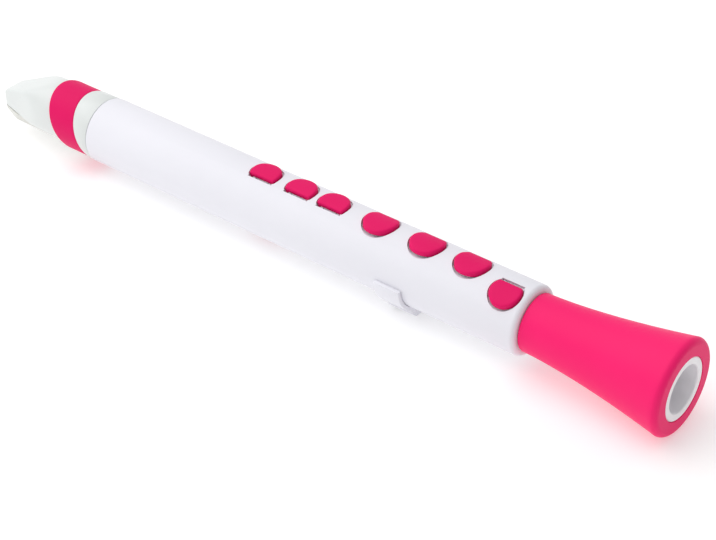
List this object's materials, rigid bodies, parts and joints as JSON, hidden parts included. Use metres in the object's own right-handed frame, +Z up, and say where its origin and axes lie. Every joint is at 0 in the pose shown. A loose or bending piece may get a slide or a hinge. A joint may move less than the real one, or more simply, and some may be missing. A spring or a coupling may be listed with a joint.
{
  "type": "plastic clarinet",
  "caption": "Straight plastic clarinet for beginners: beaked mouthpiece with reed and slip-ring ligature, sprung finger keys with soft pads, thumb rest and a flared pull-off bell.",
  "frame": {"origin": "on the surface it lies on, below the middle of its length", "axes": "+X along the bore from the mouthpiece to the bell, +Z up through the finger keys"},
  "size_m": [0.361, 0.0406, 0.0405],
  "materials": {
    "white_plastic": "moulded, semi-gloss white",
    "mouth_plastic": "moulded, milky white",
    "pink_plastic": "moulded, semi-gloss pink",
    "pink_silicone": "soft silicone, satin pink",
    "reed_plastic": "moulded, satin ivory white",
    "seal_silicone": "soft silicone, pale grey",
    "steel": "drawn wire"
  },
  "bodies": {
    "body": {"body_tube": "white_plastic", "bell_seal": "seal_silicone", "thumb_rest": "white_plastic", "thumb_rest_screw_left": "steel", "thumb_rest_screw_right": "steel", "hinge_pin_1": "steel", "hinge_pin_2": "steel", "hinge_pin_3": "steel", "hinge_pin_4": "steel", "hinge_pin_5": "steel", "hinge_pin_6": "steel", "hinge_pin_7": "steel", "hinge_pin_thumb": "steel", "key_spring_1": "steel", "key_spring_2": "steel", "key_spring_3": "steel", "key_spring_4": "steel", "key_spring_5": "steel", "key_spring_6": "steel", "key_spring_7": "steel", "key_spring_thumb": "steel"},
    "key_1": {"key_plate_1": "white_plastic", "finger_pad_1": "pink_silicone", "hole_seal_1": "seal_silicone"},
    "key_2": {"key_plate_2": "white_plastic", "finger_pad_2": "pink_silicone", "hole_seal_2": "seal_silicone"},
    "key_3": {"key_plate_3": "white_plastic", "finger_pad_3": "pink_silicone", "hole_seal_3": "seal_silicone"},
    "key_4": {"key_plate_4": "white_plastic", "finger_pad_4": "pink_silicone", "hole_seal_4": "seal_silicone"},
    "key_5": {"key_plate_5": "white_plastic", "finger_pad_5": "pink_silicone", "hole_seal_5": "seal_silicone"},
    "key_6": {"key_plate_6": "white_plastic", "finger_pad_6": "pink_silicone", "hole_seal_6": "seal_silicone"},
    "key_7": {"key_plate_7": "white_plastic", "finger_pad_7": "pink_silicone", "hole_seal_7": "seal_silicone"},
    "key_thumb": {"key_plate_thumb": "white_plastic", "finger_pad_thumb": "pink_silicone", "hole_seal_thumb": "seal_silicone"},
    "mouthpiece_slide": {"mouthpiece_seal": "seal_silicone"},
    "mouthpiece": {"mouthpiece": "mouth_plastic", "reed": "reed_plastic"},
    "ligature": {"ligature": "pink_silicone"},
    "bell": {"bell_liner": "white_plastic", "bell_shell": "pink_plastic"}
  },
  "joints": [
    {"name": "press_key_1", "type": "hinge", "parent": "body", "child": "key_1", "pos_m": [-0.02195, -0.00303, 0.03242], "axis": [-1, 0, 0], "range_deg": [0, 5], "stiffness_Nm_per_rad": 0.008, "springref_deg": -11.46},
    {"name": "press_key_2", "type": "hinge", "parent": "body", "child": "key_2", "pos_m": [-0.00255, -0.00303, 0.03242], "axis": [-1, 0, 0], "range_deg": [0, 5], "stiffness_Nm_per_rad": 0.008, "springref_deg": -11.46},
    {"name": "press_key_3", "type": "hinge", "parent": "body", "child": "key_3", "pos_m": [0.01475, -0.00303, 0.03242], "axis": [-1, 0, 0], "range_deg": [0, 5], "stiffness_Nm_per_rad": 0.008, "springref_deg": -11.46},
    {"name": "press_key_4", "type": "hinge", "parent": "body", "child": "key_4", "pos_m": [0.03825, 0.00418, 0.03272], "axis": [1, 0, 0], "range_deg": [0, 5], "stiffness_Nm_per_rad": 0.008, "springref_deg": -11.46},
    {"name": "press_key_5", "type": "hinge", "parent": "body", "child": "key_5", "pos_m": [0.06175, 0.00418, 0.03272], "axis": [1, 0, 0], "range_deg": [0, 5], "stiffness_Nm_per_rad": 0.008, "springref_deg": -11.46},
    {"name": "press_key_6", "type": "hinge", "parent": "body", "child": "key_6", "pos_m": [0.08375, 0.00418, 0.03272], "axis": [1, 0, 0], "range_deg": [0, 5], "stiffness_Nm_per_rad": 0.008, "springref_deg": -11.46},
    {"name": "press_key_7", "type": "hinge", "parent": "body", "child": "key_7", "pos_m": [0.10385, -0.00269, 0.0328], "axis": [1, 0, 0], "range_deg": [0, 5], "stiffness_Nm_per_rad": 0.008, "springref_deg": -11.46},
    {"name": "press_key_thumb", "type": "hinge", "parent": "body", "child": "key_thumb", "pos_m": [-0.02345, 0.0025, 0.00796], "axis": [1, 0, 0], "range_deg": [0, 5], "stiffness_Nm_per_rad": 0.008, "springref_deg": -11.46},
    {"name": "mouthpiece_pull", "type": "slide", "parent": "body", "child": "mouthpiece_slide", "axis": [-1, 0, 0], "range_m": [0, 0.012]},
    {"name": "mouthpiece_turn", "type": "hinge", "parent": "mouthpiece_slide", "child": "mouthpiece", "pos_m": [-0.11655, 0, 0.02025], "axis": [1, 0, 0], "continuous": true},
    {"name": "ligature_slide", "type": "slide", "parent": "mouthpiece", "child": "ligature", "axis": [-1, 0, 0], "range_m": [0, 0.012]},
    {"name": "bell_pull", "type": "slide", "parent": "body", "child": "bell", "axis": [1, 0, 0], "range_m": [0, 0.016]}
  ]
}
